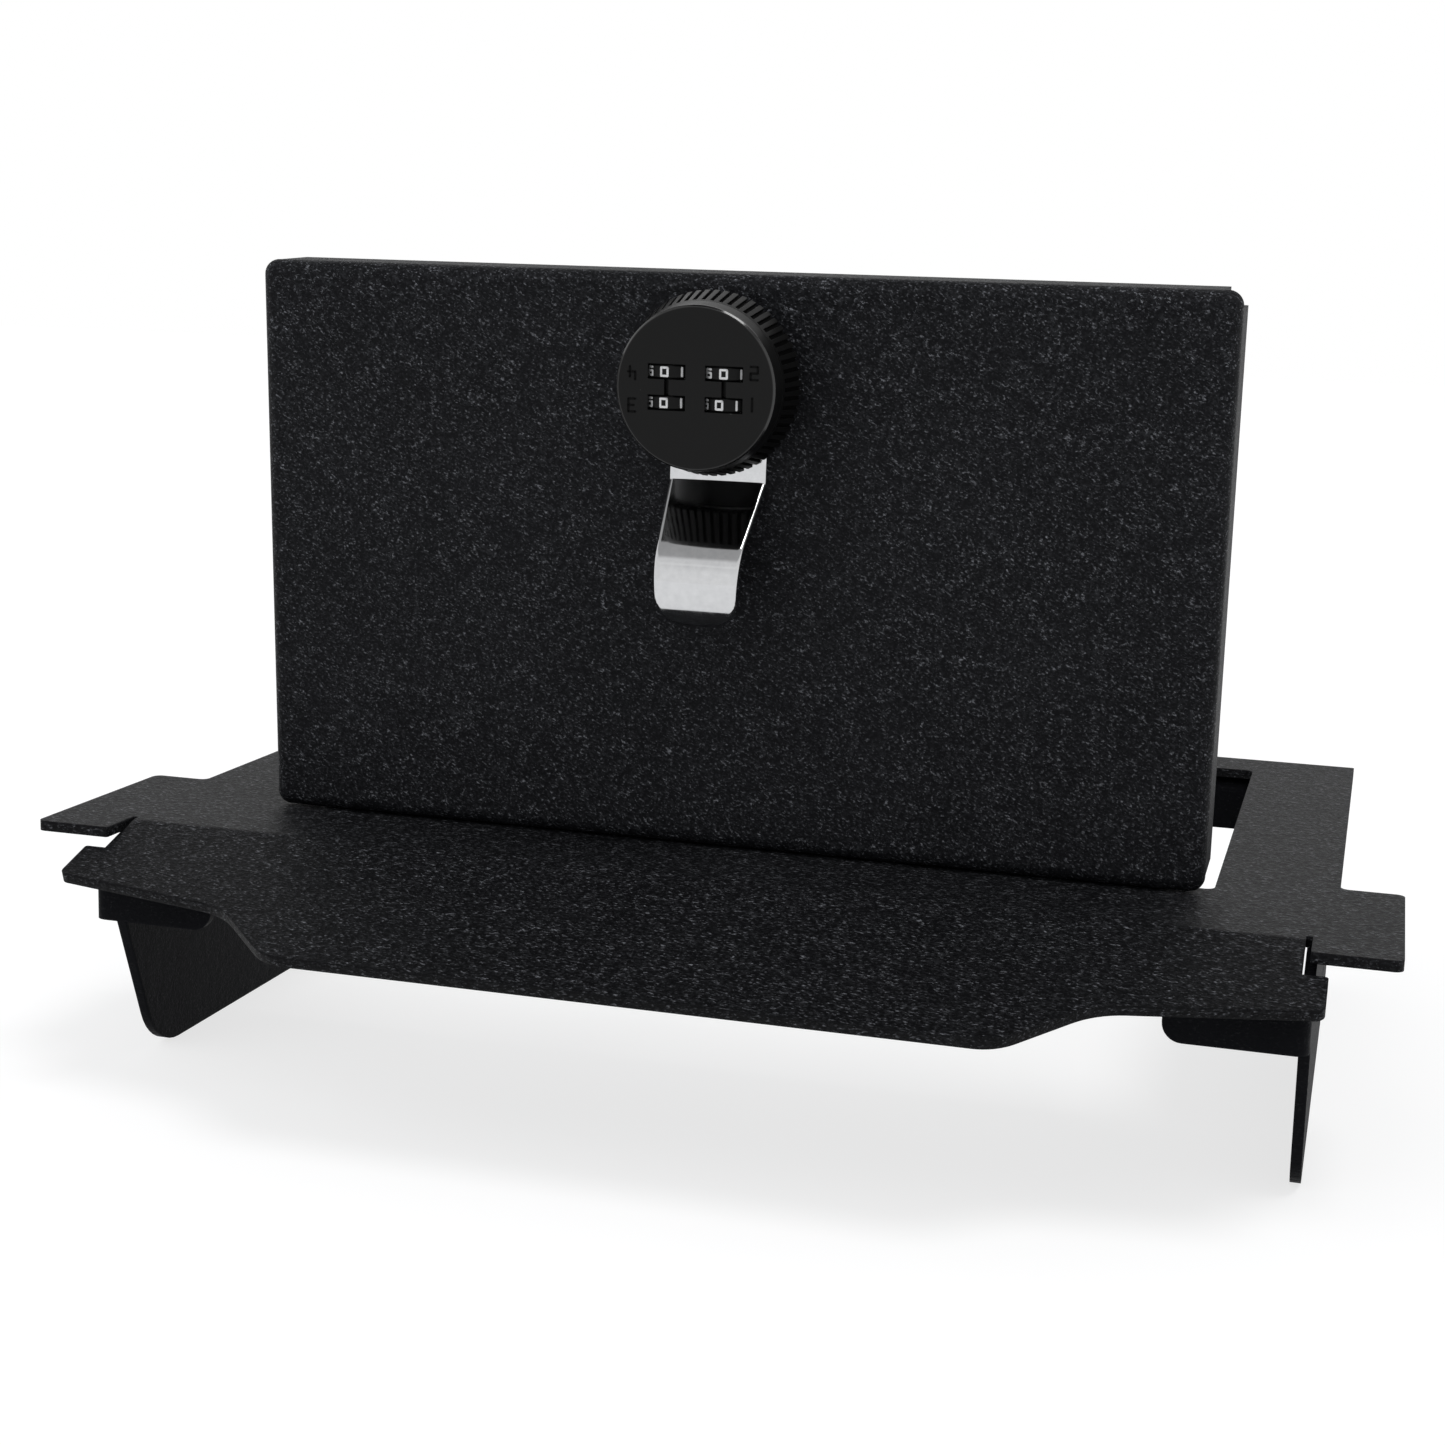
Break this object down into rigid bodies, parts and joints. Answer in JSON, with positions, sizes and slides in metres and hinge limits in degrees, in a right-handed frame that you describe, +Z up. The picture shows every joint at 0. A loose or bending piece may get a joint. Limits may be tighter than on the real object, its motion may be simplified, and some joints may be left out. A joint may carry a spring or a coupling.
{
  "type": "cash box top",
  "caption": "Top of a cash box for a vehicle console: bent steel face plate on side brackets, hinged pan lid, pull handle and a combination knob that turns a cam.",
  "frame": {"origin": "on the floor plane under the brackets' lower edges, at the centre of the part's bounding box", "axes": "+Z up, -Y towards the user and the sloping nose, +X to the right as the user faces the open lid"},
  "size_m": [0.364, 0.2798, 0.2254],
  "materials": {
    "plate_paint": "black textured powder coat",
    "bracket_paint": "black textured powder coat",
    "hinge_steel": "thin black paint over steel",
    "lid_paint": "black textured powder coat",
    "handle_chrome": "polished chrome plate",
    "lock_steel": "zinc plated steel",
    "hub_black": "satin black",
    "knob_black": "satin black",
    "wheel_black": "matt black with white digits"
  },
  "bodies": {
    "frame": {"faceplate": "plate_paint", "side_bracket_left": "bracket_paint", "side_bracket_right": "bracket_paint", "hinge_rail": "bracket_paint", "strike_rail": "bracket_paint", "hinge_leaf_frame": "hinge_steel", "hinge_pin": "hinge_steel"},
    "lid": {"lid_pan": "lid_paint", "hinge_leaf_lid": "hinge_steel", "pull_handle": "handle_chrome", "lock_housing": "hub_black", "lock_washer": "lock_steel", "lock_nut": "lock_steel"},
    "knob": {"knob_grip": "knob_black", "knob_face": "knob_black", "wheel_carrier": "lock_steel", "wheel_shaft_left": "lock_steel", "wheel_shaft_right": "lock_steel", "detent_spring": "lock_steel", "cap_screws": "lock_steel", "lock_spindle": "lock_steel", "cam_washer": "lock_steel", "lock_cam": "lock_steel", "cam_nut": "lock_steel"},
    "wheel_1": {"number_wheel_1": "wheel_black"},
    "wheel_2": {"number_wheel_2": "wheel_black"},
    "wheel_3": {"number_wheel_3": "wheel_black"},
    "wheel_4": {"number_wheel_4": "wheel_black"}
  },
  "joints": [
    {"name": "lid_hinge", "type": "hinge", "parent": "frame", "child": "lid", "pos_m": [0, -0.04173, 0.0683], "axis": [1, 0, 0], "range_deg": [-93, 0]},
    {"name": "knob_turn", "type": "hinge", "parent": "lid", "child": "knob", "pos_m": [0, -0.0603, 0.1972], "axis": [0, -0.9986, -0.0523], "range_deg": [0, 90]},
    {"name": "wheel_1_spin", "type": "hinge", "parent": "knob", "child": "wheel_1", "pos_m": [0.0075, -0.07807, 0.19237], "axis": [0, -0.0523, 0.9986], "continuous": true},
    {"name": "wheel_2_spin", "type": "hinge", "parent": "knob", "child": "wheel_2", "pos_m": [0.0075, -0.07848, 0.20016], "axis": [0, -0.0523, 0.9986], "continuous": true},
    {"name": "wheel_3_spin", "type": "hinge", "parent": "knob", "child": "wheel_3", "pos_m": [-0.0075, -0.07807, 0.19237], "axis": [0, -0.0523, 0.9986], "continuous": true},
    {"name": "wheel_4_spin", "type": "hinge", "parent": "knob", "child": "wheel_4", "pos_m": [-0.0075, -0.07848, 0.20016], "axis": [0, -0.0523, 0.9986], "continuous": true}
  ]
}
